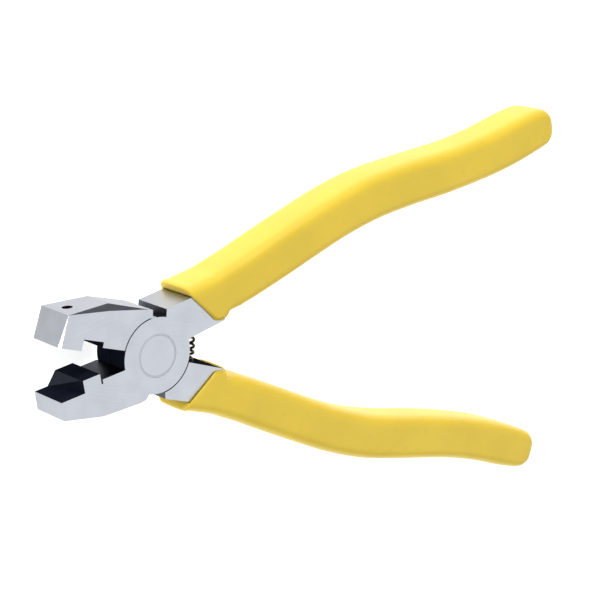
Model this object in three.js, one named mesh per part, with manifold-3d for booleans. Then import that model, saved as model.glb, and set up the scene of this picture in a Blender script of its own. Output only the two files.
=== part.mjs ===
// Tile nippers: two forged steel levers that cross in a lap joint on one rivet, a coil spring that
// pushes them open, and a soft moulded grip on each handle.
//
// The tool lies flat. +Z runs along the rivet, the jaws point to -X and the handles to +X, and the
// origin is the middle of the rivet's rear end face. Each lever is drawn closed, with the biting line
// of the jaws on the X axis, and is then turned open about the rivet.
//
// The front lever has the lower jaw and the upper handle, and its joint boss fills the front half of
// the head. The rear lever has the upper jaw and the lower handle, and its boss fills the rear half.
import * as THREE from "three";
import { mergeVertices } from "three/addons/utils/BufferGeometryUtils.js";
import Module from "manifold-3d";

const wasm = await Module();
wasm.setup();

// ---------------------------------------------------------------------------------------------
// Driving dimensions, in millimetres and degrees
// ---------------------------------------------------------------------------------------------

const HEAD_THICKNESS = 13.5;
const HALF_OPENING = 13; // each lever's turn between closed jaws and the opening stop
const HANDLE_SKEW = 1.2; // both handles lean this far to +Y of the jaws' line

// Lap joint
const BOSS_RADIUS = 10.83;
const RECESS_RADIUS = 11.15; // clears the other lever's boss
const LAP_GAP = 0.24; // between the two bosses' flat faces
const RIVET_SHANK_RADIUS = 4;
const RIVET_HEAD_RADIUS = 6;
const RIVET_HEAD_DEPTH = 2;
const RIVET_GAP = 0.15;

// Lower jaw, on the front lever
const LOWER_LAND = -0.3; // root land between the joint and the tooth
const LOWER_TIP_LAND = -2.1;
const LOWER_TIP_X = -31.7;
const TOOTH_TOP = 1.5;
const TOOTH_ROOT_X = -18.75;
const TOOTH_CREST_X = -24.4; // where the crest ends and the bevel begins
const TOOTH_FLANK_FRONT_X = -24.2; // the upright flank runs askew from here on the front face
const TOOTH_FLANK_REAR_X = -27.6; // to here on the rear face
const TOOTH_RELIEF_WIDTH = 0.5;
const TOOTH_RELIEF_DEPTH = 1.2;

// Upper jaw, on the rear lever
const UPPER_LAND = 0.2;
const UPPER_TIP_LAND = -1.4;
const UPPER_TIP_X = -32;
const NOTCH_ROOF = 1.75;
const NOTCH_ROOT_X = -18.45;
const NOTCH_FRONT_X = -24.9; // on the front face, from where it follows the tooth's flank
const FLANK_CLEARANCE = 0.6;
const TIP_CHAMFER = 0.8;
const BROW = new THREE.Vector2(-31.3, 7.5); // top of the tip's end face
const RIDGE = new THREE.Vector2(-18.7, 12);
const NECK = new THREE.Vector2(-4.9, 12.2);
const STOP_TOE = new THREE.Vector2(-0.9, 11.0); // rear half only: meets the other lever's shoulder
const FACET_DEPTH = 1.75; // ground facets along the ridge, front and rear
const FACET_BOW = new THREE.Vector2(-18.9, 10.2); // the facet's edge on the flat of the head
const FACET_END = new THREE.Vector2(-6.5, 12.15);
const JAW_HOLE_RADIUS = 1.5;
const JAW_HOLE_DEPTH = 6;
const JAW_HOLE_X = -27.7;

// Tangs: the steel between the joint and the grips
const SHOULDER_X = 4.7;
const SHOULDER_LEAN = 0.9; // the shoulder's step face leans this far back at its top
const SHOULDER_TOP = 11.75;
const TANG_INNER = 0.9; // height of the inner face where it leaves the boss
const TANG_END_X = 28;

// Handles: centre line and half width (x, y, half width), for the upper one, before the skew
const HANDLE_LINE = [
  [11, 6.1, 8.9],
  [17.5, 7.25, 7.9],
  [24, 8.2, 7.25],
  [29, 9.5, 6.65],
  [35, 10.5, 6.65],
  [42, 11.8, 6.8],
  [50, 13.3, 6.9],
  [60, 15.2, 6.9],
  [72, 17.2, 6.95],
  [85, 18.3, 7],
  [98, 18, 6.95],
  [112, 17.1, 6.95],
  [124, 16.65, 6.85],
  [137, 16.9, 6.95],
  [148, 17.9, 6.9],
  [156, 18.6, 6.4],
  [161.2, 18.8, 5.6],
];
const HANDLE_HALF_WIDTH = 6.9; // nominal, where the section's corner radius is true
const GRIP_HALF_THICKNESS = 7.8;
const GRIP_CORNER = 3.4;
const GRIP_WALL = 2.2;
const GRIP_GAP = 0.3; // between the steel core and the grip
const CORE_LENGTH = 0.94; // share of the handle's length that the steel core fills
const CORE_START = 0.1; // share of the length where the core leaves the tang
const GRIP_LIP_X = 13; // the lip's outer edge, which overhangs its inner edge
const GRIP_MOUTH_X = 14.1; // where the lip meets the tang's outer face
const GRIP_MOUTH_INNER_X = 24.2;
const GRIP_END_SHARE = 0.035; // share of the handle's length that the rounded end takes

// Opening spring, bent round the joint between the tangs
const SPRING_ARC_RADIUS = 14.1;
const SPRING_COIL_RADIUS = 2.5;
const SPRING_WIRE_RADIUS = 0.33;
const SPRING_TURNS = 6.5;
const SPRING_ARC_START = -24; // degrees about the rivet, tool open
const SPRING_ARC_END = 26.4;
const SOCKET_RADIUS = 3.25;
const SOCKET_DEPTH = 2.6;

const MID = HEAD_THICKNESS / 2;
const REACH = 200; // longer than the tool, for cutters that run past it
const radians = THREE.MathUtils.degToRad;

// ---------------------------------------------------------------------------------------------
// Materials
// ---------------------------------------------------------------------------------------------

const groundSteel = new THREE.MeshStandardMaterial({ color: 0xcdd1d8, roughness: 0.35, metalness: 0.9 });
const rivetSteel = new THREE.MeshStandardMaterial({ color: 0xd2d5db, roughness: 0.4, metalness: 0.9 });
const springSteel = new THREE.MeshStandardMaterial({ color: 0x15161c, roughness: 0.45, metalness: 0.8 });
const yellowGrip = new THREE.MeshStandardMaterial({ color: 0xf4d430, roughness: 0.45, metalness: 0 });

// ---------------------------------------------------------------------------------------------
// Solids from three.js geometry
// ---------------------------------------------------------------------------------------------

function solidOf(geometry) {
  const bare = geometry.clone();
  bare.deleteAttribute("normal");
  bare.deleteAttribute("uv");
  const merged = mergeVertices(bare, 1e-4);
  return new wasm.Manifold(
    new wasm.Mesh({
      numProp: 3,
      vertProperties: merged.attributes.position.array,
      triVerts: new Uint32Array(merged.index.array),
    }),
  );
}

function meshOf(name, solid, material) {
  const { vertProperties, triVerts } = solid.getMesh();
  const geometry = new THREE.BufferGeometry();
  geometry.setAttribute("position", new THREE.BufferAttribute(vertProperties, 3));
  geometry.setIndex(new THREE.BufferAttribute(triVerts, 1));
  const shaded = geometry.toNonIndexed();
  shaded.computeVertexNormals();
  const mesh = new THREE.Mesh(shaded, material);
  mesh.name = name;
  return mesh;
}

function outline(points) {
  return new THREE.Shape(points.map(([x, y]) => new THREE.Vector2(x, y)));
}

// A plate of the given outline in X and Y, from zLow to zHigh.
function plate(points, zLow = 0, zHigh = HEAD_THICKNESS) {
  const geometry = new THREE.ExtrudeGeometry(outline(points), { depth: zHigh - zLow, bevelEnabled: false });
  return solidOf(geometry.translate(0, 0, zLow));
}

// A plate of the given outline in X and Z, from yLow to yHigh.
function standingPlate(points, yLow, yHigh) {
  const geometry = new THREE.ExtrudeGeometry(outline(points), { depth: yHigh - yLow, bevelEnabled: false });
  return solidOf(geometry.rotateX(Math.PI / 2).translate(0, yHigh, 0));
}

function disc(radius, zLow, zHigh) {
  const geometry = new THREE.CylinderGeometry(radius, radius, zHigh - zLow, 72);
  return solidOf(geometry.rotateX(Math.PI / 2).translate(0, 0, (zLow + zHigh) / 2));
}

// Mirrors a solid to the other face of the head.
function otherFace(solid) {
  return solid.mirror([0, 0, 1]).translate([0, 0, HEAD_THICKNESS]);
}

// Cuts off what lies beyond the plane through three points, on the far side from an inner point.
function trimmed(solid, a, b, c, inner) {
  const plane = new THREE.Plane().setFromCoplanarPoints(a, b, c);
  if (plane.distanceToPoint(inner) < 0) plane.negate();
  return solid.trimByPlane(plane.normal.toArray(), -plane.constant);
}

// ---------------------------------------------------------------------------------------------
// Rivet
// ---------------------------------------------------------------------------------------------

// The rivet's solid, or with a gap the bore that it sits in.
function rivetSolid(gap = 0) {
  const shank = RIVET_SHANK_RADIUS + gap;
  const head = RIVET_HEAD_RADIUS + gap;
  const profile = [
    [0, -gap],
    [head, -gap],
    [head, 0],
    [shank, RIVET_HEAD_DEPTH],
    [shank, HEAD_THICKNESS - RIVET_HEAD_DEPTH],
    [head, HEAD_THICKNESS],
    [head, HEAD_THICKNESS + gap],
    [0, HEAD_THICKNESS + gap],
  ].map(([r, z]) => new THREE.Vector2(r, z));
  return solidOf(new THREE.LatheGeometry(profile, 60).rotateX(Math.PI / 2));
}

// ---------------------------------------------------------------------------------------------
// Jaws
// ---------------------------------------------------------------------------------------------

// What lies on the tip side of the tooth's upright, askew flank, above the tip land.
function flankWedge(clearance, yLow) {
  const slope = (TOOTH_FLANK_REAR_X - TOOTH_FLANK_FRONT_X) / HEAD_THICKNESS;
  const at = (z) => TOOTH_FLANK_FRONT_X - clearance + slope * (HEAD_THICKNESS - z);
  const points = [
    [at(-1), -1],
    [at(HEAD_THICKNESS + 1), HEAD_THICKNESS + 1],
    [-REACH, HEAD_THICKNESS + 1],
    [-REACH, -1],
  ];
  return standingPlate(points, yLow, REACH);
}

// The tooth's bevelled outline, grown by a clearance, down to yLow.
function toothOutline(clearance, yLow) {
  const bevel = (TOOTH_FLANK_REAR_X - TOOTH_CREST_X) / (TOOTH_TOP - LOWER_TIP_LAND);
  return [
    [TOOTH_ROOT_X + clearance, TOOTH_TOP + clearance],
    [TOOTH_CREST_X - clearance / 2, TOOTH_TOP + clearance],
    [TOOTH_CREST_X - clearance + bevel * (TOOTH_TOP - yLow), yLow],
    [TOOTH_ROOT_X + clearance, yLow],
  ];
}

function lowerJaw() {
  const body = plate([
    [-3, LOWER_LAND],
    [TOOTH_ROOT_X + TOOTH_RELIEF_WIDTH, LOWER_LAND],
    [TOOTH_ROOT_X + TOOTH_RELIEF_WIDTH, LOWER_LAND - TOOTH_RELIEF_DEPTH],
    [TOOTH_ROOT_X, LOWER_LAND - TOOTH_RELIEF_DEPTH],
    [TOOTH_ROOT_X, LOWER_TIP_LAND],
    [LOWER_TIP_X, LOWER_TIP_LAND],
    [LOWER_TIP_X - 0.15, -7.3],
    [-19.9, -10.5],
    [-8.1, -11.2],
    [-5.9, -11],
    [-4.6, -9.7],
    [-3, -8],
  ]);
  const tooth = plate(toothOutline(0, LOWER_TIP_LAND - 0.5)).subtract(flankWedge(0, LOWER_TIP_LAND));
  return body.add(tooth);
}

function upperJawOutline() {
  return [
    [-3, UPPER_LAND],
    [NOTCH_ROOT_X, UPPER_LAND],
    [NOTCH_ROOT_X, NOTCH_ROOF],
    [NOTCH_FRONT_X, NOTCH_ROOF],
    [NOTCH_FRONT_X, UPPER_TIP_LAND],
    [UPPER_TIP_X, UPPER_TIP_LAND],
    [BROW.x, BROW.y],
    [RIDGE.x, RIDGE.y],
    [NECK.x, NECK.y],
    [NECK.x + 0.5, NECK.y - 2.2],
    [-3, 8],
  ];
}

// The two ground facets that run from the brow over the ridge to the neck, on the front face.
function withFacets(jaw) {
  const onFace = (p) => new THREE.Vector3(p.x, p.y, HEAD_THICKNESS);
  const ridge = new THREE.Vector3(RIDGE.x, RIDGE.y, HEAD_THICKNESS - FACET_DEPTH);
  const inner = new THREE.Vector3(-18, 5, MID);
  const toBrow = trimmed(jaw, onFace(BROW), ridge, onFace(FACET_BOW), inner);
  return trimmed(toBrow, onFace(FACET_END), ridge, onFace(FACET_BOW), inner);
}

// The small chamfer down the tip's upright edge, on the front face.
function tipChamfer() {
  const x = UPPER_TIP_X - 0.1;
  const z = HEAD_THICKNESS;
  const points = [
    [x - 1, z - TIP_CHAMFER - 1],
    [x + TIP_CHAMFER + 1, z + 1],
    [x - 1, z + 1],
  ];
  return standingPlate(points, UPPER_TIP_LAND - 1, BROW.y + 1);
}

function jawHole() {
  const slope = (RIDGE.y - BROW.y) / (RIDGE.x - BROW.x);
  const y = BROW.y + slope * (JAW_HOLE_X - BROW.x);
  const geometry = new THREE.CylinderGeometry(JAW_HOLE_RADIUS, JAW_HOLE_RADIUS, 2 * JAW_HOLE_DEPTH, 24);
  return solidOf(geometry.rotateZ(Math.atan(slope)).translate(JAW_HOLE_X, y, MID));
}

// The tip side of the notch, up to its roof.
function belowNotchRoof() {
  const points = [
    [NOTCH_FRONT_X + 0.5, NOTCH_ROOF],
    [-REACH, NOTCH_ROOF],
    [-REACH, -REACH],
    [NOTCH_FRONT_X + 0.5, -REACH],
  ];
  return plate(points, -REACH, REACH);
}

function upperJaw() {
  const relief = plate(toothOutline(FLANK_CLEARANCE, UPPER_TIP_LAND - 1), -1, HEAD_THICKNESS + 1)
    .subtract(flankWedge(FLANK_CLEARANCE, -REACH))
    .intersect(belowNotchRoof());
  const chamfer = tipChamfer();
  const faceted = otherFace(withFacets(otherFace(withFacets(plate(upperJawOutline())))));
  const stopToe = plate(
    [
      [NECK.x - 0.2, NECK.y],
      [STOP_TOE.x, STOP_TOE.y],
      [STOP_TOE.x, 8],
      [NECK.x - 0.2, 8],
    ],
    0,
    MID - LAP_GAP / 2,
  );
  return faceted
    .add(stopToe)
    .subtract(relief)
    .subtract(chamfer)
    .subtract(otherFace(chamfer))
    .subtract(jawHole());
}

// ---------------------------------------------------------------------------------------------
// Handles, drawn for the upper one and mirrored for the lower
// ---------------------------------------------------------------------------------------------

const handleLine = new THREE.CatmullRomCurve3(
  HANDLE_LINE.map(([x, y, halfWidth]) => new THREE.Vector3(x, y, halfWidth)),
);

function roundedRectangle(halfX, halfY, radius) {
  const shape = new THREE.Shape();
  const [x, y] = [halfX - radius, halfY - radius];
  shape.moveTo(halfX, -y);
  shape.absarc(x, y, radius, 0, Math.PI / 2, false);
  shape.absarc(-x, y, radius, Math.PI / 2, Math.PI, false);
  shape.absarc(-x, -y, radius, Math.PI, 1.5 * Math.PI, false);
  shape.absarc(x, -y, radius, 1.5 * Math.PI, 2 * Math.PI, false);
  return shape;
}

// A bar along the handle's centre line between two shares of its length, inset from the grip's
// outer surface, with a rounded end.
function handleBar(inset, from, to) {
  const halfWidth = HANDLE_HALF_WIDTH - inset;
  const halfThickness = GRIP_HALF_THICKNESS - inset;
  const section = roundedRectangle(halfWidth, halfThickness, Math.max(GRIP_CORNER - inset, 1));
  const geometry = new THREE.ExtrudeGeometry(section, {
    depth: 1,
    steps: 34,
    bevelEnabled: false,
    curveSegments: 2,
  });
  const position = geometry.getAttribute("position");
  for (let i = 0; i < position.count; i++) {
    const along = from + (to - from) * (1 - (1 - position.getZ(i)) ** 1.4);
    const station = handleLine.getPoint(along);
    const tangent = handleLine.getTangent(along);
    const length = Math.hypot(tangent.x, tangent.y);
    const intoEnd = Math.max(0, (along - to + GRIP_END_SHARE) / GRIP_END_SHARE);
    const rounding = Math.max(0.3, Math.sqrt(1 - intoEnd ** 2));
    const thicknessRounding = (1 + rounding) / 2; // the flat faces run on almost to the end
    const across = (position.getX(i) * rounding * (station.z - inset)) / halfWidth;
    position.setXYZ(
      i,
      station.x - (tangent.y / length) * across,
      station.y + (tangent.x / length) * across,
      MID + position.getY(i) * thicknessRounding,
    );
  }
  return solidOf(geometry);
}

// The flat tang, or with a gap the pocket that it fills in the grip.
function tang(gap = 0) {
  const points = [
    [3, 7],
    [SHOULDER_X, 8.6],
    [SHOULDER_X + SHOULDER_LEAN, SHOULDER_TOP + gap],
    [14, 12 + gap],
    [TANG_END_X + gap, 14 + gap],
    [TANG_END_X + gap, 4.6 - gap],
    [25.2 + gap, 3.6 - gap],
    [23.6 + gap, 1.7 - gap],
    [10.5, TANG_INNER - gap],
    [5, TANG_INNER - gap],
  ];
  return plate(points, -gap, HEAD_THICKNESS + gap);
}

// The hand lever behind the joint: the flat tang and the round-cornered core inside the grip.
function handleSteel() {
  return tang().add(handleBar(GRIP_WALL, CORE_START, CORE_LENGTH));
}

function gripMouth() {
  const points = [
    [GRIP_LIP_X, 30],
    [GRIP_LIP_X, 15.2],
    [GRIP_MOUTH_X, 12.1],
    [19.4, 4.5],
    [20.5, 2.9],
    [22.8, 2.3],
    [GRIP_MOUTH_INNER_X, 1.5],
    [GRIP_MOUTH_INNER_X, -10],
    [-10, -10],
    [-10, 30],
  ];
  return plate(points, -REACH, REACH);
}

function gripSolid() {
  return handleBar(0, 0, 1)
    .subtract(gripMouth())
    .subtract(tang(GRIP_GAP))
    .subtract(handleBar(GRIP_WALL - GRIP_GAP, 0, CORE_LENGTH + 0.003));
}

// Places a handle solid on the upper side, or mirrored on the lower side.
function onSide(solid, upper) {
  const placed = upper ? solid : solid.mirror([0, 1, 0]);
  return placed.rotate([0, 0, HANDLE_SKEW]);
}

// ---------------------------------------------------------------------------------------------
// Levers
// ---------------------------------------------------------------------------------------------

// The blind socket that holds one end of the spring, square to the tang's inner face.
function springSocket(upper) {
  const depth = TANG_INNER + SOCKET_DEPTH;
  const geometry = new THREE.CylinderGeometry(SOCKET_RADIUS, SOCKET_RADIUS, 2 * depth, 32);
  const socket = solidOf(geometry.translate(SPRING_ARC_RADIUS, 0, MID));
  return socket.rotate([0, 0, upper ? HANDLE_SKEW : -HANDLE_SKEW]);
}

function frontLever() {
  const recess = disc(RECESS_RADIUS, -1, MID + LAP_GAP / 2);
  return lowerJaw()
    .add(disc(BOSS_RADIUS, 0, HEAD_THICKNESS))
    .add(onSide(handleSteel(), true))
    .subtract(recess)
    .subtract(rivetSolid(RIVET_GAP))
    .subtract(springSocket(true));
}

function rearLever() {
  const recess = disc(RECESS_RADIUS, MID - LAP_GAP / 2, HEAD_THICKNESS + 1);
  return upperJaw()
    .add(disc(BOSS_RADIUS, 0, HEAD_THICKNESS))
    .add(onSide(handleSteel(), false))
    .subtract(recess)
    .subtract(rivetSolid(RIVET_GAP))
    .subtract(springSocket(false));
}

// ---------------------------------------------------------------------------------------------
// Spring
// ---------------------------------------------------------------------------------------------

// The wire's centre line: a helix round an arc that is centred on the rivet.
class BentCoil extends THREE.Curve {
  getPoint(t, target = new THREE.Vector3()) {
    const around = radians(SPRING_ARC_START + (SPRING_ARC_END - SPRING_ARC_START) * t);
    const turn = 2 * Math.PI * SPRING_TURNS * t;
    const radius = SPRING_ARC_RADIUS + SPRING_COIL_RADIUS * Math.cos(turn);
    return target.set(
      radius * Math.cos(around),
      radius * Math.sin(around),
      MID + SPRING_COIL_RADIUS * Math.sin(turn),
    );
  }
}

function springSolid() {
  const wire = new THREE.Shape().absarc(0, 0, SPRING_WIRE_RADIUS, 0, 2 * Math.PI, false);
  const geometry = new THREE.ExtrudeGeometry(wire, {
    extrudePath: new BentCoil(),
    steps: Math.round(14 * SPRING_TURNS),
    curveSegments: 3,
    bevelEnabled: false,
  });
  return solidOf(geometry);
}

// ---------------------------------------------------------------------------------------------
// The tool
// ---------------------------------------------------------------------------------------------

const frontBody = new THREE.Group();
frontBody.rotation.z = radians(HALF_OPENING);
frontBody.add(
  meshOf("front_lever", frontLever(), groundSteel),
  meshOf("upper_grip", onSide(gripSolid(), true), yellowGrip),
);

const rearBody = new THREE.Group();
rearBody.rotation.z = radians(-HALF_OPENING);
rearBody.add(
  meshOf("rear_lever", rearLever(), groundSteel),
  meshOf("lower_grip", onSide(gripSolid(), false), yellowGrip),
);

const tileNippers = new THREE.Group();
tileNippers.add(
  frontBody,
  rearBody,
  meshOf("pivot_rivet", rivetSolid(), rivetSteel),
  meshOf("opening_spring", springSolid(), springSteel),
);

export default tileNippers;
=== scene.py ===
"""Tile nippers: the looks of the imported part, laid out as an add-on.

Each piece has its own operator. The sizes and colours that a maker would change are in the
property groups. Everything is in metres, in the part's own frame: the tool lies flat, +Z runs
along the rivet, the jaws point to -X and the handles to +X.
"""
import math

import bmesh
import bpy
from bpy.props import FloatProperty, FloatVectorProperty, IntProperty, PointerProperty
from mathutils import Matrix, Vector


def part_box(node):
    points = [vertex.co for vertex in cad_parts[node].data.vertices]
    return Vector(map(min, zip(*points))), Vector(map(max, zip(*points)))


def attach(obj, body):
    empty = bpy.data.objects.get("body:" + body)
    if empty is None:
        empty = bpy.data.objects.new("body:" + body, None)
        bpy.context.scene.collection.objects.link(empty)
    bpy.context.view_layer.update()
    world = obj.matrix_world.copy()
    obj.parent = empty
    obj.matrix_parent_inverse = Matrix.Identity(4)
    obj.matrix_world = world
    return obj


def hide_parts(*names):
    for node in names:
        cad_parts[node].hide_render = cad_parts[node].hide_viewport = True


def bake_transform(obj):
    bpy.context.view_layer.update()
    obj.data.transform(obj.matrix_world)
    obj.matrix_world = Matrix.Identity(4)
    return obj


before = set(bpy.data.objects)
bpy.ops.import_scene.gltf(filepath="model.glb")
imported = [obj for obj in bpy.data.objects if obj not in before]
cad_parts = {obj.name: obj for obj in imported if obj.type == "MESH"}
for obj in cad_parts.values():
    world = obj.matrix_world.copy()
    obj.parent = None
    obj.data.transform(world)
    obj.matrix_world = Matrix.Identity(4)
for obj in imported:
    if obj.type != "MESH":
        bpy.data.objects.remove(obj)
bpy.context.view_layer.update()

bl_info = {
    "name": "Tile nippers",
    "version": (1, 0, 0),
    "blender": (4, 5, 0),
    "location": "3D view > Sidebar > Nippers",
    "description": "Steel levers, rivet, spring and moulded grips of a pair of tile nippers",
    "category": "Object",
}

# The head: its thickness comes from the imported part
HEAD_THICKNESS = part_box("front_lever")[1].z
MID = HEAD_THICKNESS / 2
HALF_OPENING = math.radians(13)  # each lever's turn from closed to the rest pose
HANDLE_SKEW = math.radians(1.2)  # both handles lean this far to +Y
BORE_RADIUS = 0.0061  # of the countersinks round the rivet's heads
BORE_BAND = 0.0006  # their edges lie this near the bore radius
RECESS_RADIUS = 0.01115  # of the arc that clears the other lever's boss

# The handle's centre line with its half width (x, y, half width), upper side, tool closed
HANDLE_LINE = [
    Vector(point)
    for point in (
        (0.0110, 0.0061, 0.0089),
        (0.0175, 0.00725, 0.0079),
        (0.0240, 0.0082, 0.00725),
        (0.0290, 0.0095, 0.00665),
        (0.0350, 0.0105, 0.00665),
        (0.0420, 0.0118, 0.0068),
        (0.0500, 0.0133, 0.0069),
        (0.0600, 0.0152, 0.0069),
        (0.0720, 0.0172, 0.00695),
        (0.0850, 0.0183, 0.0070),
        (0.0980, 0.0180, 0.00695),
        (0.1120, 0.0171, 0.00695),
        (0.1240, 0.01665, 0.00685),
        (0.1370, 0.0169, 0.00695),
        (0.1480, 0.0179, 0.0069),
        (0.1560, 0.0186, 0.0064),
        (0.1612, 0.0188, 0.0056),
    )
]
GRIP_HALF_THICKNESS = (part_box("upper_grip")[1].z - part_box("upper_grip")[0].z) / 2

# The grip's mouth on its faces (x, y), from the outer side to the inner side
MOUTH_LINE = [
    (0.0130, 0.0300),
    (0.0130, 0.0152),
    (0.0141, 0.0121),
    (0.0194, 0.0045),
    (0.0203, 0.0030),
    (0.0212, 0.0025),
    (0.0236, 0.0022),
    (0.0242, 0.0016),
    (0.0243, -0.0100),
]
# The tang's outer and inner edges (x, y), which the grip's pocket follows
TANG_OUTER = [(0.0056, 0.01175), (0.0140, 0.0120), (0.0280, 0.0140)]
TANG_INNER = [(0.0105, 0.0009), (0.0236, 0.0017), (0.0252, 0.0036), (0.0280, 0.0046)]
# How far the grip's inner side is drawn in along its lip and behind it (x, step)
INNER_STEP = [(0.0, 0.0005), (0.0236, 0.0005), (0.0249, 0.0016), (0.0290, 0.0001), (0.0350, 0.0)]
POCKET_DEEP_X = 0.0265  # where the modelled part of the pocket ends


# ---------------------------------------------------------------------------------------------
# Settings
# ---------------------------------------------------------------------------------------------


def colour_property(name, description, default):
    return FloatVectorProperty(
        name=name, description=description, default=default, subtype="COLOR", size=3, min=0, max=1
    )


def length_property(name, description, default):
    return FloatProperty(
        name=name, description=description, default=default, unit="LENGTH", min=0, precision=5
    )


class NippersSteelSettings(bpy.types.PropertyGroup):
    """Finishes, painted shade, painted reflection and painted highlights, and edge of the two levers and
    the rivet
    """

    face_colour: colour_property("Ground faces", "Satin ground steel", (0.635, 0.66, 0.71))
    # Ridge facets and shoulder steps: their dark colour is a painted reflection on ground steel; their
    # coarser grinding is real
    facet_dark_reflection_colour: colour_property("Ridge facets", "Coarser ground facets, darkened as a painted reflection", (0.10, 0.105, 0.12))
    # Dark oxide, partly the steel's own finish and partly painted shade where the levers shade each other:
    # jaws, throat, hole and the tang's inner face
    oxide_shade_colour: colour_property(
        "Dark oxide and painted shade", "Dark oxide with painted shade in the jaws and throat", (0.010, 0.012, 0.021)
    )
    edge_radius: length_property("Edge radius", "Broken edges of the forgings", 0.0002)


class NippersSpringSettings(bpy.types.PropertyGroup):
    """Size and colour of the opening spring"""

    wire_radius: length_property("Wire radius", "Half the wire's diameter", 0.00036)
    coil_radius: length_property("Coil radius", "From the coil's axis to the wire's middle", 0.0025)
    turns: FloatProperty(name="Turns", description="Turns of the coil", default=8.5, min=2, max=20)
    colour: colour_property("Wire", "Black oxide wire", (0.012, 0.012, 0.016))


class NippersGripSettings(bpy.types.PropertyGroup):
    """Shape and colour of the moulded grips"""

    colour: colour_property("Vinyl", "Soft yellow vinyl", (0.93, 0.66, 0.045))
    corner: length_property("Corner radius", "Rounding of the grip's long edges", 0.0033)
    mouth_corner: length_property("Corner radius at the mouth", "Rounding where the grip begins", 0.0032)
    crown: length_property("Crown", "Bulge of the outer and inner sides", 0.0003)
    rings: IntProperty(name="Rings", description="Rings of faces along the grip", default=72, min=20)


class NippersStageSettings(bpy.types.PropertyGroup):
    """Camera, lights and floor"""

    lens: FloatProperty(name="Lens", description="Focal length in millimetres", default=108, min=20)
    sky: FloatProperty(name="Sky", description="Strength of the even studio light", default=0.56, min=0)
    key: FloatProperty(
        name="Key light", description="Light over the upper handle", default=3.4, min=0, unit="POWER"
    )
    floor_glow: FloatProperty(
        name="Floor glow", description="Light from the white table", default=0.75, min=0
    )


# ---------------------------------------------------------------------------------------------
# Node helpers
# ---------------------------------------------------------------------------------------------


def new_group(name, inputs, outputs):
    """An empty node group with the named sockets, its input node and its output node."""
    tree = bpy.data.node_groups.new(name, "ShaderNodeTree")
    for socket, kind, default in inputs:
        made = tree.interface.new_socket(name=socket, in_out="INPUT", socket_type="NodeSocket" + kind)
        if default is not None:
            made.default_value = default
    for socket, kind in outputs:
        tree.interface.new_socket(name=socket, in_out="OUTPUT", socket_type="NodeSocket" + kind)
    return tree, tree.nodes.new("NodeGroupInput"), tree.nodes.new("NodeGroupOutput")


def add_node(tree, kind, links=None, **values):
    """Adds a node, sets its properties, and joins or sets its inputs by name or number."""
    node = tree.nodes.new("ShaderNode" + kind)
    for key, value in values.items():
        setattr(node, key, value)
    for key, value in (links or {}).items():
        socket = node.inputs[key]
        if isinstance(value, bpy.types.NodeSocket):
            tree.links.new(value, socket)
        else:
            socket.default_value = value
    return node


def grinding_group():
    """Fine straight lines of a grinding belt, and the broad cloudiness under them."""
    tree, given, out = new_group(
        "grinding",
        [("Turn", "Float", 0.0), ("Fineness", "Float", 2500.0), ("Cloud Size", "Float", 160.0)],
        [("Lines", "Float"), ("Cloud", "Float")],
    )
    place = add_node(tree, "TexCoord").outputs["Object"]
    turned = add_node(
        tree, "VectorRotate", {"Vector": place, "Angle": given.outputs["Turn"]}, rotation_type="Z_AXIS"
    )
    drawn_out = add_node(
        tree, "VectorMath", {0: turned.outputs[0], 1: (0.035, 1.0, 1.0)}, operation="MULTIPLY"
    )
    lines = add_node(
        tree,
        "TexNoise",
        {
            "Vector": drawn_out.outputs[0],
            "Scale": given.outputs["Fineness"],
            "Detail": 3.0,
            "Roughness": 0.6,
        },
    )
    cloud = add_node(
        tree, "TexNoise", {"Vector": place, "Scale": given.outputs["Cloud Size"], "Detail": 4.0}
    )
    tree.links.new(lines.outputs["Fac"], out.inputs["Lines"])
    tree.links.new(cloud.outputs["Fac"], out.inputs["Cloud"])
    return tree


def skin_group():
    """The even skin of moulded vinyl: fine orange peel, slow waves and faint handling marks."""
    tree, given, out = new_group(
        "moulded_skin",
        [("Peel Size", "Float", 1400.0), ("Wave Size", "Float", 60.0)],
        [("Peel", "Float"), ("Wave", "Float"), ("Marks", "Float")],
    )
    place = add_node(tree, "TexCoord").outputs["Object"]
    peel = add_node(
        tree, "TexNoise", {"Vector": place, "Scale": given.outputs["Peel Size"], "Detail": 2.0}
    )
    wave = add_node(
        tree, "TexNoise", {"Vector": place, "Scale": given.outputs["Wave Size"], "Detail": 3.0}
    )
    marks = add_node(
        tree, "TexNoise", {"Vector": place, "Scale": 420.0, "Detail": 6.0, "Roughness": 0.7}
    )
    picked = add_node(
        tree, "MapRange", {"Value": marks.outputs["Fac"], "From Min": 0.56, "From Max": 0.72}
    )
    tree.links.new(peel.outputs["Fac"], out.inputs["Peel"])
    tree.links.new(wave.outputs["Fac"], out.inputs["Wave"])
    tree.links.new(picked.outputs[0], out.inputs["Marks"])
    return tree


def node_group(name, build):
    return bpy.data.node_groups.get(name) or build()


def plain_material(name, **sockets):
    """A material with one Principled shader whose plain values are set on its own sockets."""
    made = bpy.data.materials.new(name)
    made.use_nodes = True
    shader = made.node_tree.nodes["Principled BSDF"]
    for socket, value in sockets.items():
        shader.inputs[socket.replace("_", " ")].default_value = value
    return made, made.node_tree, shader


def use_group(tree, group, **values):
    node = tree.nodes.new("ShaderNodeGroup")
    node.node_tree = group
    for socket, value in values.items():
        node.inputs[socket.replace("_", " ")].default_value = value
    return node


def shade(colour, factor):
    return tuple(min(1.0, c * factor) for c in colour) + (1.0,)


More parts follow.
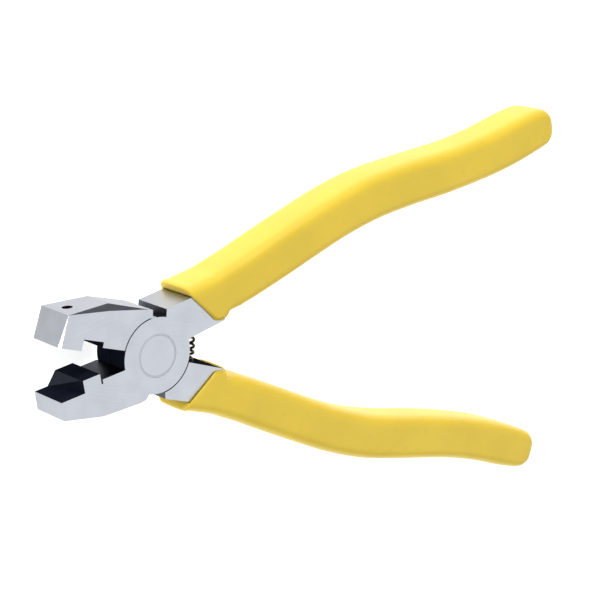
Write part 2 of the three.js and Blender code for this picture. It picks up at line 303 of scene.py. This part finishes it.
def steel_material(name, colour, spread, rough, turn, bump, fineness=2500.0, metallic=1.0):
    """Steel whose tone and roughness follow the grinding lines and the cloudiness."""
    made, tree, shader = plain_material(name, Metallic=metallic, Specular_IOR_Level=0.5 * metallic)
    grind = use_group(tree, node_group("grinding", grinding_group), Turn=turn, Fineness=fineness)
    both = add_node(
        tree, "Math", {0: grind.outputs["Lines"], 1: grind.outputs["Cloud"]}, operation="ADD"
    )
    tone = add_node(
        tree, "MapRange", {"Value": both.outputs[0], "From Min": 0.72, "From Max": 1.28}
    )
    mixed = add_node(
        tree,
        "Mix",
        {0: tone.outputs[0], 6: shade(colour, 1 - spread), 7: shade(colour, 1 + spread)},
        data_type="RGBA",
    )
    roughness = add_node(
        tree,
        "MapRange",
        {"Value": grind.outputs["Lines"], "From Min": 0.3, "From Max": 0.7, "To Min": rough - 0.05,
         "To Max": rough + 0.05},
    )
    relief = add_node(
        tree, "Bump", {"Height": grind.outputs["Lines"], "Strength": bump, "Distance": 0.00002}
    )
    tree.links.new(mixed.outputs[2], shader.inputs["Base Color"])
    tree.links.new(roughness.outputs[0], shader.inputs["Roughness"])
    tree.links.new(relief.outputs[0], shader.inputs["Normal"])
    return made


def vinyl_material(name, colour):
    made, tree, shader = plain_material(name, Metallic=0.0, IOR=1.5)
    skin = use_group(tree, node_group("moulded_skin", skin_group))
    wave = add_node(
        tree, "MapRange", {"Value": skin.outputs["Wave"], "From Min": 0.35, "From Max": 0.65}
    )
    tone = add_node(
        tree,
        "Mix",
        {0: wave.outputs[0], 6: shade(colour, 0.965), 7: shade(colour, 1.03)},
        data_type="RGBA",
    )
    marked = add_node(
        tree,
        "Mix",
        {0: skin.outputs["Marks"], 6: tone.outputs[2], 7: shade(colour, 0.93)},
        data_type="RGBA",
    )
    roughness = add_node(
        tree,
        "MapRange",
        {"Value": skin.outputs["Marks"], "To Min": 0.36, "To Max": 0.44},
    )
    relief = add_node(
        tree, "Bump", {"Height": skin.outputs["Peel"], "Strength": 0.12, "Distance": 0.00006}
    )
    tree.links.new(marked.outputs[2], shader.inputs["Base Color"])
    tree.links.new(roughness.outputs[0], shader.inputs["Roughness"])
    tree.links.new(relief.outputs[0], shader.inputs["Normal"])
    return made


# ---------------------------------------------------------------------------------------------
# Mesh helpers
# ---------------------------------------------------------------------------------------------


def finished(name, mesh_work, materials):
    """Turns a bmesh into an object at the origin, with its materials."""
    mesh = bpy.data.meshes.new(name)
    mesh_work.to_mesh(mesh)
    mesh_work.free()
    for made in materials:
        mesh.materials.append(made)
    piece = bpy.data.objects.new(name, mesh)
    bpy.context.scene.collection.objects.link(piece)
    return piece


def along_line(points, value, by=0):
    """The other coordinate of a broken line at a value of its first (by=0) or second (by=1) one."""
    other = 1 - by
    ordered = sorted(points, key=lambda p: p[by])
    if value <= ordered[0][by]:
        return ordered[0][other]
    for low, high in zip(ordered, ordered[1:]):
        if value <= high[by]:
            span = high[by] - low[by]
            share = (value - low[by]) / span if span else 0
            return low[other] + (high[other] - low[other]) * share
    return ordered[-1][other]


def turn_z(angle):
    return Matrix.Rotation(angle, 4, "Z")


# ---------------------------------------------------------------------------------------------
# Levers
# ---------------------------------------------------------------------------------------------

# Finishes by face. GROUND is the steel's own colour. OUTER and TIP are copies of it darkened as painted
# shade. FACET is darkened as a painted reflection. EDGE is brightened as a painted highlight. DARK and
# BLACK are dark oxide with painted shade, and BLACK has no reflection.
GROUND, OUTER, TIP, FACET, DARK, BLACK, EDGE = range(7)
FACE_BAND = 0.0003  # an outer face's middle is this near the head's front or rear
JAW_HOLE = Vector((-0.0277, 0.0117))  # the blind hole in the upper jaw, tool closed
HOLE_HALF_WIDTH = 0.0016
HOLE_SURROUND = 0.0032
HOLE_REACH = 0.0075
SHARP_ANGLE = math.radians(25)
SEAM_MARGIN = 0.0003  # beyond the recess arc
THROAT_HALF_HEIGHT = 0.0107
END_FACE_X = -0.0312  # the jaws' end faces lie beyond this
JAW_BACK_Y = 0.004  # the jaws' backs lie outside this
TIP_LAND_X = -0.0215  # the tooth and the tip land lie beyond this
SHOULDER_X = 0.008  # the tangs' shoulders lie before this


def lever_finish(centre, normal, upper_jaw):
    """Which finish a flat face has, from its middle and its normal with the tool closed; several finishes
    are painted shade, a painted reflection or a painted highlight.

    The plain numbers below are parts of a unit normal.
    """
    radius = math.hypot(centre.x, centre.y)
    on_face = abs(normal.z) > 0.95
    outer_face = centre.z < FACE_BAND or centre.z > HEAD_THICKNESS - FACE_BAND
    if on_face and outer_face:
        return GROUND
    # Painted shade: faces inside the head, between the two levers, are given black
    if on_face:
        return BLACK
    # Painted shade: the throat round the rivet, where the levers shade and reflect each other, is given
    # black
    if radius < RECESS_RADIUS + SEAM_MARGIN and abs(centre.y) < THROAT_HALF_HEIGHT:
        return BLACK
    # towards the other lever of the pair, on the jaw and on the tang
    inward_jaw = -normal.y if upper_jaw else normal.y
    inward_tang = normal.y if upper_jaw else -normal.y
    if centre.x < 0:
        outward = -inward_jaw
        side_y = centre.y if upper_jaw else -centre.y
        in_hole = upper_jaw and (centre.xy - JAW_HOLE).length < HOLE_REACH
        # Painted shade: the inside of the upper jaw's blind hole is given black
        if in_hole and abs(centre.z - MID) < HOLE_HALF_WIDTH and outward < 0.9:
            return BLACK
        # Sloped faces: a painted dark reflection on those facing outward, a painted highlight on the rest
        if abs(normal.z) > 0.3:
            return FACET if outward > 0.3 else EDGE
        # Painted shade: the upper jaw's end face is darkened more than the lower jaw's
        if centre.x < END_FACE_X and normal.x < -0.8:
            return TIP if upper_jaw else OUTER
        # Painted shade: the jaw's back is darkened
        if outward > 0.35 and side_y > JAW_BACK_Y:
            return OUTER
        # The jaws' other faces are dark oxide with painted shade. Inward faces behind the tip land, and the
        # tooth's flank, keep a reflection; the rest are flat black.
        tooth_flank = not upper_jaw and normal.x < -0.3
        return DARK if inward_jaw > 0.3 and (tooth_flank or centre.x > TIP_LAND_X) else BLACK
    # Painted shade: the tang's inner face is given black
    if inward_tang > 0.3:
        return BLACK
    # Painted dark reflection on the tangs' shoulder steps
    if normal.x < -0.6 and centre.x < SHOULDER_X:
        return FACET
    # Painted shade: the tang's other faces are darkened
    return OUTER


def lever_piece(node, steel):
    """A merged copy of a CAD lever, with its finishes, painted shade and painted highlights sorted by face
    and its edges broken.
    """
    upper_jaw = node == "rear_lever"
    work = bmesh.new()
    work.from_mesh(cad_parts[node].data)
    bmesh.ops.remove_doubles(work, verts=work.verts, dist=2e-6)
    bmesh.ops.dissolve_degenerate(work, edges=work.edges, dist=1e-6)
    closed = turn_z(HALF_OPENING if upper_jaw else -HALF_OPENING)
    plain = [v for v in work.verts if ((closed @ v.co).xy - JAW_HOLE).length > HOLE_SURROUND]
    clear = set(plain)
    bmesh.ops.dissolve_limit(
        work, angle_limit=math.radians(1.0), verts=plain,
        edges=[e for e in work.edges if clear.issuperset(e.verts)],
    )
    work.normal_update()
    broken = work.edges.layers.float.new("bevel_weight_edge")
    for edge in work.edges:
        bore = all(abs(v.co.xy.length - BORE_RADIUS) < BORE_BAND for v in edge.verts)
        sharp = edge.calc_face_angle(0.0) > SHARP_ANGLE
        edge[broken] = float(sharp and not bore and clear.issuperset(edge.verts))
        edge.smooth = not sharp
    for face in work.faces:
        face.smooth = True
        face.material_index = lever_finish(
            closed @ face.calc_center_median(), closed.to_3x3() @ face.normal, upper_jaw
        )
    turn = -HALF_OPENING if upper_jaw else HALF_OPENING
    # outer and tip are the ground colour darkened to 0.68 and 0.53 as painted shade, and facet is a painted
    # dark reflection. The two oxide finishes carry painted shade. edge is the ground colour brightened to
    # 1.3 as a painted highlight.
    materials = [
        steel_material(node + "_" + name, colour, turn=turn, **values)
        for name, colour, values in (
            ("ground", steel.face_colour, {"spread": 0.075, "rough": 0.36, "bump": 0.3}),
            ("outer", shade(steel.face_colour, 0.68)[:3], {"spread": 0.06, "rough": 0.42, "bump": 0.3}),
            ("tip", shade(steel.face_colour, 0.53)[:3], {"spread": 0.08, "rough": 0.42, "bump": 0.3}),
            ("facet", steel.facet_dark_reflection_colour, {"spread": 0.12, "rough": 0.45, "bump": 0.4, "fineness": 1800.0}),
            ("dark_oxide_and_shade", steel.oxide_shade_colour, {"spread": 0.25, "rough": 0.38, "bump": 0.3}),
            ("black_oxide_and_shade", steel.oxide_shade_colour, {"spread": 0.25, "rough": 0.5, "bump": 0.3, "metallic": 0.0}),
            ("edge", shade(steel.face_colour, 1.3)[:3], {"spread": 0.03, "rough": 0.3, "bump": 0.1}),
        )
    ]
    piece = finished(node + "_forging", work, materials)
    bevel = piece.modifiers.new("broken edges", "BEVEL")
    bevel.limit_method = "WEIGHT"
    bevel.width = steel.edge_radius
    bevel.segments = 2
    bevel.harden_normals = True
    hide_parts(node)
    return piece


class NIPPERS_OT_add_levers(bpy.types.Operator):
    """Make the two forged levers with their ground faces, their dark oxide, and their painted shade and
    painted highlights
    """

    bl_idname = "nippers.add_levers"
    bl_label = "Levers"

    def execute(self, context):
        steel = context.scene.nippers_steel
        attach(lever_piece("front_lever", steel), "front_body")
        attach(lever_piece("rear_lever", steel), "rear_body")
        return {"FINISHED"}


# ---------------------------------------------------------------------------------------------
# Rivet
# ---------------------------------------------------------------------------------------------


HEAD_SPREAD = 0.00012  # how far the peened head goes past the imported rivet's radius
GROOVE_RADIUS, GROOVE_HALF_WIDTH, GROOVE_DEPTH = 0.00573, 0.00011, 0.000045
SHANK = ((0.0041, 0.0020), (0.0040, 0.0022))  # radius and depth where the head meets the shank


class NIPPERS_OT_add_rivet(bpy.types.Operator):
    """Make the rivet, peened into both countersinks and ground flush, with its faint ring"""

    bl_idname = "nippers.add_rivet"
    bl_label = "Rivet"

    def execute(self, context):
        steel = context.scene.nippers_steel
        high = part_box("pivot_rivet")[1]
        radius = high.x + HEAD_SPREAD
        half = [
            (0.0, 0.0),
            (GROOVE_RADIUS - GROOVE_HALF_WIDTH, 0.0),
            (GROOVE_RADIUS, GROOVE_DEPTH),
            (GROOVE_RADIUS + GROOVE_HALF_WIDTH, 0.0),
            (radius - 0.00006, 0.0),
            (radius - 0.00001, 0.00003),
            (radius, 0.00008),
            *SHANK,
        ]
        profile = half + [(r, high.z - z) for r, z in reversed(half)]
        work = bmesh.new()
        points = [work.verts.new((r, 0, z)) for r, z in profile]
        edges = [work.edges.new(pair) for pair in zip(points, points[1:])]
        bmesh.ops.spin(
            work, geom=points + edges, cent=(0, 0, 0), axis=(0, 0, 1), angle=math.tau, steps=96,
            use_merge=True,
        )
        bmesh.ops.remove_doubles(work, verts=work.verts, dist=1e-6)
        bmesh.ops.recalc_face_normals(work, faces=work.faces)
        for face in work.faces:
            face.smooth = True
        for edge in work.edges:
            edge.smooth = edge.calc_face_angle(0.0) < SHARP_ANGLE / 2
        made = steel_material(
            "rivet_ground", steel.face_colour, spread=0.05, rough=0.36, turn=0.1, bump=0.4, fineness=800.0
        )
        piece = finished("rivet", work, [made])
        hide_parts("pivot_rivet")
        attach(piece, "front_body")
        return {"FINISHED"}


# ---------------------------------------------------------------------------------------------
# Spring
# ---------------------------------------------------------------------------------------------

SPRING_ARC_RADIUS = 0.0141
SPRING_ARC = (math.radians(-23.2), math.radians(25.6))
WIRE_SIDES = 12
STEPS_PER_TURN = 24
CLOSE_TURNS = 0.9  # close-wound turns at each end
CLOSE_PITCH = 0.45  # pitch of the close turns, as a share of the even pitch


class NIPPERS_OT_add_spring(bpy.types.Operator):
    """Make the opening spring: a coil bent round the rivet, with close end turns"""

    bl_idname = "nippers.add_spring"
    bl_label = "Spring"

    def execute(self, context):
        spring = context.scene.nippers_spring
        steps = round(STEPS_PER_TURN * spring.turns)
        work = bmesh.new()
        wire = bmesh.ops.create_circle(
            work,
            segments=WIRE_SIDES,
            radius=spring.wire_radius,
            matrix=Matrix.Translation((spring.coil_radius, 0, 0)),
        )["verts"]
        edges = list(work.edges)
        bmesh.ops.spin(
            work,
            geom=wire + edges,
            cent=(0, 0, 0),
            axis=(0, 1, 0),
            dvec=(0, 1.0 / steps, 0),
            angle=math.tau * spring.turns,
            steps=steps,
        )
        bmesh.ops.holes_fill(work, edges=[e for e in work.edges if e.is_boundary])
        end_turns = CLOSE_TURNS / spring.turns  # share of the coil that is close wound at each end
        middle = (1 - 2 * end_turns * CLOSE_PITCH) / (1 - 2 * end_turns)
        work.verts.index_update()
        for vert in work.verts:
            share = (vert.index // WIRE_SIDES) / steps
            within_wire = vert.co.y - share
            if share < end_turns:
                along = share * CLOSE_PITCH
            elif share < 1 - end_turns:
                along = end_turns * CLOSE_PITCH + (share - end_turns) * middle
            else:
                along = 1 - (1 - share) * CLOSE_PITCH
            around = SPRING_ARC[0] + (SPRING_ARC[1] - SPRING_ARC[0]) * along
            around += within_wire / SPRING_ARC_RADIUS
            radius = SPRING_ARC_RADIUS + vert.co.x
            vert.co = Vector((radius * math.cos(around), radius * math.sin(around), MID + vert.co.z))
        bmesh.ops.recalc_face_normals(work, faces=work.faces)
        for face in work.faces:
            face.smooth = True
        made = steel_material(
            "spring_wire", spring.colour, spread=0.3, rough=0.42, turn=0.0, bump=0.2
        )
        piece = finished("spring_coil", work, [made])
        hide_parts("opening_spring")
        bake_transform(piece)
        return {"FINISHED"}


# ---------------------------------------------------------------------------------------------
# Grips
# ---------------------------------------------------------------------------------------------

LINE_PARTS = len(HANDLE_LINE) - 1
LIP_SETBACK = 0.0008  # length of the lip's rounding, along the handle
LIP_OUTER, LIP_INNER, LIP_FACE = 0.0006, 0.0004, 0.0005  # and its depth on each side
END_ROUNDING = 0.0052  # of the closed end, seen from the front
END_EDGE = 0.0026  # where the closed end meets the flat faces
END_CORNER_LOSS = 0.0006  # how much smaller the long edges' rounding is at the closed end
POCKET_CORNER = 0.0004
POCKET_GAP = 0.00022
MOUTH_HALF = 0.0082  # the grip's half width at its mouth
MOUTH_FADE = 0.035  # length over which the mouth's rounding becomes the grip's
BEAD_PLACE, BEAD_HEIGHT = 0.0010, 0.0002  # the outer side's bead, from the mouth
STEP = 0.002  # share of the handle line on each side of a tangent
LEAST_CORNER = 0.0004


def handle_station(share):
    """The handle line's point and half width at a share of its length: a smooth spline."""
    place = min(max(share, 0.0), 1.0) * LINE_PARTS
    k = min(int(place), LINE_PARTS - 1)
    w = place - k
    b, c = HANDLE_LINE[k], HANDLE_LINE[k + 1]
    a = HANDLE_LINE[k - 1] if k > 0 else 2 * b - c
    d = HANDLE_LINE[k + 2] if k + 2 <= LINE_PARTS else 2 * c - b
    ab, bc, cd = ((q - p).length ** 0.5 for p, q in ((a, b), (b, c), (c, d)))
    leave = ((b - a) / ab - (c - a) / (ab + bc) + (c - b) / bc) * bc
    reach = ((c - b) / bc - (d - b) / (bc + cd) + (d - c) / cd) * bc
    return b + leave * w + (3 * (c - b) - 2 * leave - reach) * w**2 + (2 * (b - c) + leave + reach) * w**3


def handle_point(share, across):
    """A point of the handle at an offset across its line."""
    station = handle_station(share)
    ahead, behind = handle_station(share + STEP), handle_station(share - STEP)
    tangent = Vector((ahead.x - behind.x, ahead.y - behind.y)).normalized()
    return Vector((station.x - tangent.y * across, station.y + tangent.x * across))


def mouth_share(across_share):
    """Where the grip's mouth crosses the handle line's offset, as a share of the line."""
    low, high = 0.0, 0.25
    for _ in range(24):
        share = (low + high) / 2
        point = handle_point(share, across_share * handle_station(share).z)
        if point.x < along_line(MOUTH_LINE, point.y, by=1):
            low = share
        else:
            high = share
    return (low + high) / 2


def split_core(value):
    """Parts of a prism coordinate on the flat (-1 to 1) and on the rounded corner (-1 to 1)."""
    flat = min(max(value, -1.0), 1.0)
    return flat, value - flat


def side_at(flat, corner, half, radius):
    return flat * (half - radius) + corner * radius


def pocket_point(flat, corner, setback, spread):
    """A point of the pocket's wall that the flat tang fills, back from the mouth."""
    x = 0.018
    for _ in range(6):
        outer = along_line(TANG_OUTER, x) + POCKET_GAP + spread
        inner = along_line(TANG_INNER, x) - POCKET_GAP - spread
        half = (outer - inner) / 2
        y = (outer + inner) / 2 + side_at(flat, corner, half, POCKET_CORNER)
        x = POCKET_DEEP_X if setback is None else along_line(MOUTH_LINE, y, by=1) + setback
    return Vector((x, y))


def grip_rings(count):
    """The rings of the grip in order, from deep in the pocket, round the lip, to the closed end."""
    rings = [("pocket", None, 0.0), ("pocket", 0.0006, 0.0), ("pocket", 0.00015, 0.00005),
             ("pocket", 0.0, 0.0002)]
    for step in range(4, -1, -1):
        rings.append(("lip", math.radians(22.5 * step), 0.0))
    for step in range(1, count):
        rings.append(("wall", (step / count) ** 1.25, 0.0))
    for step in range(7):
        rings.append(("end", math.radians(15 * step), 1.0))
    for shrink in (0.7, 0.4, 0.15, 0.0):
        rings.append(("end", math.pi / 2, shrink))
    return rings


def grip_vertex(ring, y, z, grip):
    """Where a prism vertex goes: x, y with the tool closed, upper side, and z."""
    kind, value, extra = ring
    (flat_y, corner_y), (flat_z, corner_z) = split_core(y), split_core(z)
    outer = corner_y > 0 or (corner_y == 0 and flat_y > 0)
    if kind == "pocket":
        x, y = pocket_point(flat_y, corner_y, value, extra)
        return Vector((x, y, MID + side_at(flat_z, corner_z, MID + POCKET_GAP + extra, POCKET_CORNER)))
    across_share = side_at(flat_y, corner_y, MOUTH_HALF, grip.mouth_corner) / MOUTH_HALF
    mouth = mouth_share(across_share)
    span = (handle_station(mouth + STEP) - handle_station(mouth - STEP)).length
    per_metre = 1 / (span / (2 * STEP))
    end = 1 - END_ROUNDING / (HANDLE_LINE[-1] - HANDLE_LINE[-2]).length / LINE_PARTS
    inset = Vector((0, 0))
    shrink = 1.0
    if kind == "lip":
        setback = LIP_SETBACK * (1 - math.sin(value))
        depth = 1 - math.cos(value)
        inset = Vector(((LIP_OUTER if outer else LIP_INNER) * depth, LIP_FACE * depth))
        share = mouth + setback * per_metre
    elif kind == "wall":
        start = mouth + LIP_SETBACK * per_metre
        share = start + (end - start) * value
    else:
        share = end + (1 - end) * math.sin(value)
        depth = 1 - math.cos(value)
        inset = Vector((END_ROUNDING * depth, END_EDGE * depth))
        shrink = extra
    metres = (share - mouth) / per_metre
    station = handle_station(share)
    fade = min(max(metres / MOUTH_FADE, 0.0), 1.0)
    corner = grip.mouth_corner + (grip.corner - grip.mouth_corner) * fade
    near_end = min(max((share - 0.8) / 0.2, 0.0), 1.0)
    corner -= END_CORNER_LOSS * near_end
    half_y, half_z = station.z - inset.x, GRIP_HALF_THICKNESS - inset.y
    corner = max(min(corner, half_y, half_z) - 0.6 * inset.y, LEAST_CORNER)
    across = side_at(flat_y, corner_y, half_y, corner) * shrink
    up = side_at(flat_z, corner_z, half_z, corner) * shrink
    across -= grip.crown * (up / GRIP_HALF_THICKNESS) ** 2 * corner_y * shrink
    if outer:
        bead = math.exp(-(((metres - BEAD_PLACE) / BEAD_PLACE) ** 2))
        across += BEAD_HEIGHT * bead * corner_y
    across += along_line(INNER_STEP, station.x) * (1 - across / station.z) / 2
    point = handle_point(share, across)
    return Vector((point.x, point.y, MID + up))


def grip_piece(side, grip):
    """One grip: a long prism with rounded edges, cut into rings that follow the handle."""
    rings = grip_rings(grip.rings)
    length = len(rings) - 1
    work = bmesh.new()
    bmesh.ops.create_cube(work, size=4)
    bmesh.ops.scale(work, vec=(length / 4, 1, 1), verts=work.verts)
    bmesh.ops.translate(work, vec=(length / 2, 0, 0), verts=work.verts)
    long_edges = [e for e in work.edges if abs(e.verts[0].co.x - e.verts[1].co.x) > 1]
    bmesh.ops.bevel(
        work, geom=long_edges, offset=1, offset_type="OFFSET", affect="EDGES", segments=7,
        profile=0.5, material=-1,
    )
    cuts = [((0, y, 0), (0, 1, 0)) for y in (-1, -0.75, -0.5, -0.25, 0, 0.25, 0.5, 0.75, 1)]
    cuts += [((0, 0, z), (0, 0, 1)) for z in (-1, -0.5, 0, 0.5, 1)]
    cuts += [((x, 0, 0), (1, 0, 0)) for x in range(1, length)]
    for place, normal in cuts:
        bmesh.ops.bisect_plane(
            work, geom=work.verts[:] + work.edges[:] + work.faces[:], dist=1e-5, plane_co=place,
            plane_no=normal,
        )
    skew = turn_z(HANDLE_SKEW + (HALF_OPENING if side > 0 else -HALF_OPENING))
    if side < 0:
        skew = skew @ Matrix.Diagonal((1, -1, 1, 1))
    for vert in work.verts:
        vert.co = skew @ grip_vertex(rings[round(vert.co.x)], vert.co.y, vert.co.z, grip)
    bmesh.ops.remove_doubles(work, verts=work.verts, dist=2e-6)
    bmesh.ops.recalc_face_normals(work, faces=work.faces)
    for face in work.faces:
        face.smooth = True
    name = "upper_grip" if side > 0 else "lower_grip"
    piece = finished(
        name + "_vinyl", work, [vinyl_material(name + "_vinyl", grip.colour)]
    )
    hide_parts(name)
    return piece


class NIPPERS_OT_add_grips(bpy.types.Operator):
    """Make the two soft moulded grips, with a rolled lip at the mouth and a rounded closed end"""

    bl_idname = "nippers.add_grips"
    bl_label = "Grips"

    def execute(self, context):
        grip = context.scene.nippers_grip
        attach(grip_piece(1, grip), "front_body")
        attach(grip_piece(-1, grip), "rear_body")
        return {"FINISHED"}


# ---------------------------------------------------------------------------------------------
# Stage
# ---------------------------------------------------------------------------------------------

CAMERA_PLACE = Vector((-0.27721, 0.12107, 0.40117))
CAMERA_RIGHT = Vector((0.77044, 0.04867, 0.63565))
CAMERA_UP = Vector((0.09906, 0.97583, -0.19478))


def area_light(name, place, target, size, power):
    data = bpy.data.lights.new(name, "AREA")
    data.shape = "DISK"
    data.size = size
    data.energy = power
    lamp = bpy.data.objects.new(name, data)
    lamp.location = place
    lamp.rotation_euler = (Vector(target) - Vector(place)).to_track_quat("-Z", "Y").to_euler()
    bpy.context.scene.collection.objects.link(lamp)


class NIPPERS_OT_add_stage(bpy.types.Operator):
    """Make the camera, the soft lights and the white table"""

    bl_idname = "nippers.add_stage"
    bl_label = "Stage"

    def execute(self, context):
        stage = context.scene.nippers_stage
        scene = context.scene
        data = bpy.data.cameras.new("camera")
        data.lens = stage.lens
        data.clip_start, data.clip_end = 0.01, 20
        camera = bpy.data.objects.new("camera", data)
        back = CAMERA_RIGHT.cross(CAMERA_UP).normalized()
        turned = Matrix((CAMERA_RIGHT, CAMERA_UP, back)).transposed().to_4x4()
        camera.matrix_world = Matrix.Translation(CAMERA_PLACE) @ turned
        scene.collection.objects.link(camera)
        scene.camera = camera

        world = bpy.data.worlds.new("studio")
        world.use_nodes = True
        sky = world.node_tree.nodes["Background"]
        sky.inputs["Color"].default_value = (0.97, 0.985, 1.0, 1.0)
        sky.inputs["Strength"].default_value = stage.sky
        scene.world = world
        scene.view_settings.view_transform = "Standard"

        area_light("key", (-0.15, 0.85, 0.45), target=(0.05, 0, 0), size=0.5, power=stage.key)
        area_light("front", (0.55, -0.20, 0.66), target=(0.03, 0, 0), size=0.8, power=0.80)
        area_light("rim", (-0.69, 0.07, 0.47), target=(-0.03, 0.01, 0), size=0.15, power=0.4)

        made, tree, shader = plain_material(
            "white_table", Base_Color=(0.85, 0.85, 0.85, 1), Roughness=0.9, Emission_Color=(1, 1, 1, 1),
            Emission_Strength=stage.floor_glow,
        )
        work = bmesh.new()
        bmesh.ops.create_grid(work, x_segments=2, y_segments=2, size=4)
        bmesh.ops.translate(work, vec=(0, 0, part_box("upper_grip")[0].z), verts=work.verts)
        mesh = bpy.data.meshes.new("table")
        work.to_mesh(mesh)
        work.free()
        mesh.materials.append(made)
        table = bpy.data.objects.new("table", mesh)
        scene.collection.objects.link(table)
        return {"FINISHED"}


# ---------------------------------------------------------------------------------------------
# Panel and registration
# ---------------------------------------------------------------------------------------------

OPERATORS = (
    NIPPERS_OT_add_levers,
    NIPPERS_OT_add_rivet,
    NIPPERS_OT_add_spring,
    NIPPERS_OT_add_grips,
    NIPPERS_OT_add_stage,
)
SETTINGS = {
    "nippers_steel": NippersSteelSettings,
    "nippers_spring": NippersSpringSettings,
    "nippers_grip": NippersGripSettings,
    "nippers_stage": NippersStageSettings,
}


class NIPPERS_PT_panel(bpy.types.Panel):
    """Lists the pieces of the nippers and their settings"""

    bl_label = "Tile nippers"
    bl_idname = "NIPPERS_PT_panel"
    bl_space_type = "VIEW_3D"
    bl_region_type = "UI"
    bl_category = "Nippers"

    def draw(self, context):
        column = self.layout.column()
        for operator in OPERATORS:
            column.operator(operator.bl_idname)
        for name, group in SETTINGS.items():
            for field in group.__annotations__:
                column.prop(getattr(context.scene, name), field)


def register():
    for cls in (*SETTINGS.values(), *OPERATORS, NIPPERS_PT_panel):
        bpy.utils.register_class(cls)
    for name, group in SETTINGS.items():
        setattr(bpy.types.Scene, name, PointerProperty(type=group))


def unregister():
    for name in SETTINGS:
        delattr(bpy.types.Scene, name)
    for cls in reversed((*SETTINGS.values(), *OPERATORS, NIPPERS_PT_panel)):
        bpy.utils.unregister_class(cls)


def main():
    register()
    bpy.ops.nippers.add_stage()
    bpy.ops.nippers.add_levers()
    bpy.ops.nippers.add_rivet()
    bpy.ops.nippers.add_spring()
    bpy.ops.nippers.add_grips()
    bpy.context.view_layer.update()


if __name__ == "__main__":
    main()
